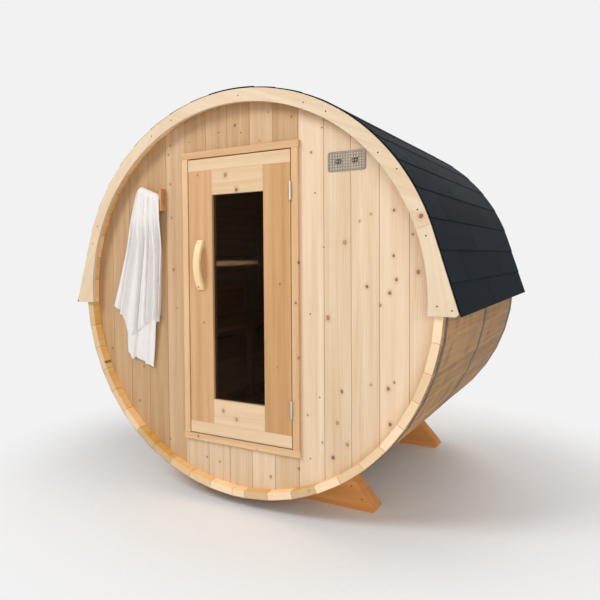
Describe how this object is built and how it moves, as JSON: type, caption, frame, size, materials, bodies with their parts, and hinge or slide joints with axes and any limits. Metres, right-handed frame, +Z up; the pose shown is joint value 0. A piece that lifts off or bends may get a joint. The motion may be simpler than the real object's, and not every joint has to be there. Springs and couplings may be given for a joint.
{
  "type": "barrel sauna",
  "caption": "Wooden barrel sauna on two cradles with a shingled roof, a glazed hinged door, steel bands, slatted benches with back rests and a slatted floor",
  "frame": {"origin": "on the ground under the middle of the sauna: the middle of its outline in X and Y, at the lowest point of the cradles", "axes": "+X to the right of someone who faces the door, +Y along the barrel from the door to the back wall, +Z up"},
  "size_m": [2.0928, 1.869, 2.0205],
  "materials": {
    "cedar_staves": "planed, weathered outside",
    "wall_boards": "planed softwood boards",
    "casing_wood": "planed",
    "door_wood": "planed, fine sanded",
    "handle_wood": "sanded smooth",
    "fascia_wood": "planed pale softwood",
    "deck_wood": "sawn board",
    "cradle_wood": "sawn",
    "bench_wood": "sanded smooth",
    "roof_shingles": "mineral-faced asphalt",
    "band_steel": "dull dark steel strap",
    "hinge_steel": "zinc plated",
    "vent_metal": "satin",
    "tinted_glass": "bronze tinted, polished",
    "towel_cotton": "looped terry cotton"
  },
  "bodies": {
    "barrel": {"staves_01": "cedar_staves", "staves_02": "cedar_staves", "staves_03": "cedar_staves", "staves_04": "cedar_staves", "staves_05": "cedar_staves", "staves_06": "cedar_staves", "staves_07": "cedar_staves", "staves_08": "cedar_staves", "staves_09": "cedar_staves", "staves_10": "cedar_staves", "staves_11": "cedar_staves", "staves_12": "cedar_staves", "band_front": "band_steel", "band_middle": "band_steel", "band_back": "band_steel", "front_wall_left": "wall_boards", "front_wall_right": "wall_boards", "front_wall_over_door": "wall_boards", "front_wall_under_door": "wall_boards", "back_wall": "wall_boards", "door_jamb_left": "casing_wood", "door_jamb_right": "casing_wood", "door_header": "casing_wood", "door_sill": "casing_wood", "hinge_upper_frame_half": "hinge_steel", "hinge_lower_frame_half": "hinge_steel", "vent_grille": "vent_metal", "fascia_front_left": "fascia_wood", "fascia_front_crown": "fascia_wood", "fascia_front_right": "fascia_wood", "fascia_back_left": "fascia_wood", "fascia_back_crown": "fascia_wood", "fascia_back_right": "fascia_wood", "roof_deck_left": "deck_wood", "shingles_left": "roof_shingles", "roof_deck_right": "deck_wood", "shingles_right": "roof_shingles", "cradle_front": "cradle_wood", "cradle_back": "cradle_wood", "bench_left": "bench_wood", "bench_right": "bench_wood", "floor": "bench_wood", "towel_hook": "handle_wood", "towel": "towel_cotton"},
    "door": {"door_rail_top": "door_wood", "door_rail_bottom": "door_wood", "door_stile_left": "door_wood", "door_stile_right": "door_wood", "door_panel_top": "door_wood", "door_panel_bottom": "door_wood", "door_glass": "tinted_glass", "door_handle_outside": "handle_wood", "door_handle_inside": "handle_wood", "hinge_upper_door_half": "hinge_steel", "hinge_lower_door_half": "hinge_steel"}
  },
  "joints": [
    {"name": "door_hinge", "type": "hinge", "parent": "barrel", "child": "door", "pos_m": [0.2895, -0.89, 1.02], "axis": [0, 0, 1], "range_deg": [0, 110]}
  ]
}
